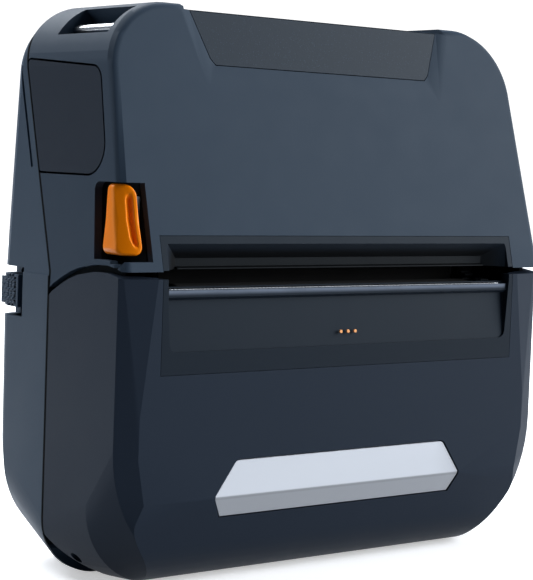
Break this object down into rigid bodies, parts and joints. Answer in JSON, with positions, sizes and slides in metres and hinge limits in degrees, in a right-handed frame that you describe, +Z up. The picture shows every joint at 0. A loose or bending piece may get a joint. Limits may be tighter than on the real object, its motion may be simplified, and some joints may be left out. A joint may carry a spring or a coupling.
{
  "type": "mobile printer",
  "caption": "battery mobile label and receipt printer with a hinged roll cover, release lever, coupled media guides and platen drive, standing on its base",
  "frame": {"origin": "centre of the base on the ground plane, halfway between the front face and the back", "axes": "+X to the right seen from the front, the front faces -Y, +Z up"},
  "size_m": [0.158, 0.0672, 0.162],
  "materials": {
    "housing_plastic": "fine texture, dark blue grey",
    "case_plastic": "fine texture, blue grey",
    "cover_plastic": "fine texture, dark blue grey",
    "bezel_plastic": "semi gloss black",
    "panel_plastic": "speckled",
    "inner_plastic": "plain black",
    "flap_rubber": "matt",
    "pad_rubber": "matt",
    "platen_rubber": "ground",
    "sheet_steel": "zinc plated",
    "bright_steel": "ground",
    "aluminium": "extruded",
    "gear_plastic": "natural",
    "brass": "turned",
    "board": "solder mask",
    "ceramic": "fired",
    "window": "frosted, milky",
    "lever_orange": "satin orange",
    "lens": "diffusing",
    "dots": "pale orange"
  },
  "bodies": {
    "case": {"rear_housing": "housing_plastic", "front_case": "case_plastic", "exit_bezel": "bezel_plastic", "top_panel": "panel_plastic", "lever_well": "inner_plastic", "port_pocket": "inner_plastic", "main_frame": "sheet_steel", "roll_tray": "inner_plastic", "main_board": "board", "usb_socket": "bright_steel", "power_jack": "inner_plastic", "feed_motor": "sheet_steel", "idler_axle": "bright_steel", "head_pivot": "bright_steel", "strap_bars": "bright_steel", "frame_screws": "bright_steel", "media_sensor": "inner_plastic", "battery_contacts": "brass", "thread_inserts": "brass", "base_pads": "pad_rubber", "status_lights": "lens", "head_springs": "bright_steel"},
    "roll_cover": {"cover_shell": "cover_plastic", "name_plate": "bezel_plastic", "tear_bar": "bright_steel", "roll_window": "window", "indicator_dots": "dots", "hinge_pins": "bright_steel", "platen_bushes": "gear_plastic"},
    "platen": {"platen_rubber": "platen_rubber", "platen_shaft": "bright_steel", "platen_gear": "gear_plastic"},
    "idler": {"idler_gear": "gear_plastic"},
    "pinion": {"motor_pinion": "brass"},
    "print_head": {"head_plate": "ceramic", "heat_sink": "aluminium"},
    "lever": {"release_lever": "lever_orange"},
    "latch": {"latch_shaft": "bright_steel", "latch_left": "sheet_steel", "latch_right": "sheet_steel"},
    "left_guide": {"guide_left": "inner_plastic"},
    "right_guide": {"guide_right": "inner_plastic"},
    "guide_gear": {"guide_pinion": "gear_plastic"},
    "port_flap": {"port_cover": "flap_rubber", "flap_pin": "bright_steel"},
    "battery": {"battery_pack": "inner_plastic"},
    "battery_catch": {"battery_latch": "housing_plastic"},
    "power_button": {"power_key": "bezel_plastic"},
    "feed_button": {"feed_key": "bezel_plastic"},
    "radio_button": {"radio_key": "bezel_plastic"}
  },
  "joints": [
    {"name": "cover_hinge", "type": "hinge", "parent": "case", "child": "roll_cover", "pos_m": [0, -0.006, 0.0065], "axis": [1, 0, 0], "range_deg": [0, 90]},
    {"name": "platen_spin", "type": "hinge", "parent": "roll_cover", "child": "platen", "pos_m": [0, -0.022, 0.0785], "axis": [1, 0, 0], "continuous": true},
    {"name": "idler_spin", "type": "hinge", "parent": "case", "child": "idler", "pos_m": [0, -0.00682, 0.08187], "axis": [1, 0, 0], "continuous": true},
    {"name": "pinion_spin", "type": "hinge", "parent": "case", "child": "pinion", "pos_m": [0, 0.00026, 0.09413], "axis": [1, 0, 0], "continuous": true},
    {"name": "head_tilt", "type": "hinge", "parent": "case", "child": "print_head", "pos_m": [0, -0.0106, 0.096], "axis": [1, 0, 0], "range_deg": [0, 4], "stiffness_Nm_per_rad": 2},
    {"name": "latch_turn", "type": "hinge", "parent": "case", "child": "latch", "pos_m": [0, 0.0045, 0.0745], "axis": [1, 0, 0], "range_deg": [0, 5.6], "stiffness_Nm_per_rad": 0.3},
    {"name": "lever_turn", "type": "hinge", "parent": "case", "child": "lever", "pos_m": [-0.071, -0.025, 0.0955], "axis": [1, 0, 0], "range_deg": [0, 25]},
    {"name": "left_guide_slide", "type": "slide", "parent": "case", "child": "left_guide", "axis": [1, 0, 0], "range_m": [0, 0.03]},
    {"name": "right_guide_slide", "type": "slide", "parent": "case", "child": "right_guide", "axis": [-1, 0, 0], "range_m": [0, 0.03]},
    {"name": "guide_gear_turn", "type": "hinge", "parent": "case", "child": "guide_gear", "pos_m": [0, 0.0134, 0.006], "axis": [0, 0, 1], "range_deg": [0, 492]},
    {"name": "port_flap_hinge", "type": "hinge", "parent": "case", "child": "port_flap", "pos_m": [-0.07564, 0.01783, 0.129], "axis": [-0.0565, -0.3315, -0.9418], "range_deg": [0, 100]},
    {"name": "battery_pull", "type": "slide", "parent": "case", "child": "battery", "axis": [0, 1, 0], "range_m": [0, 0.06]},
    {"name": "battery_catch_slide", "type": "slide", "parent": "case", "child": "battery_catch", "axis": [0, 0, -1], "range_m": [0, 0.002], "stiffness_N_per_m": 300},
    {"name": "power_press", "type": "slide", "parent": "case", "child": "power_button", "axis": [0, 0, -1], "range_m": [0, 0.0008], "stiffness_N_per_m": 400},
    {"name": "feed_press", "type": "slide", "parent": "case", "child": "feed_button", "axis": [0, 0, -1], "range_m": [0, 0.0008], "stiffness_N_per_m": 400},
    {"name": "radio_press", "type": "slide", "parent": "case", "child": "radio_button", "axis": [0, 0, -1], "range_m": [0, 0.0008], "stiffness_N_per_m": 400}
  ],
  "couplings": [
    {"joint": "idler_spin", "follows": "platen_spin", "ratio": -0.57143},
    {"joint": "pinion_spin", "follows": "platen_spin", "ratio": 1.3333},
    {"joint": "lever_turn", "follows": "latch_turn", "ratio": 4.46},
    {"joint": "right_guide_slide", "follows": "left_guide_slide", "ratio": 1},
    {"joint": "guide_gear_turn", "follows": "left_guide_slide", "rad_per_m": 285.71}
  ]
}
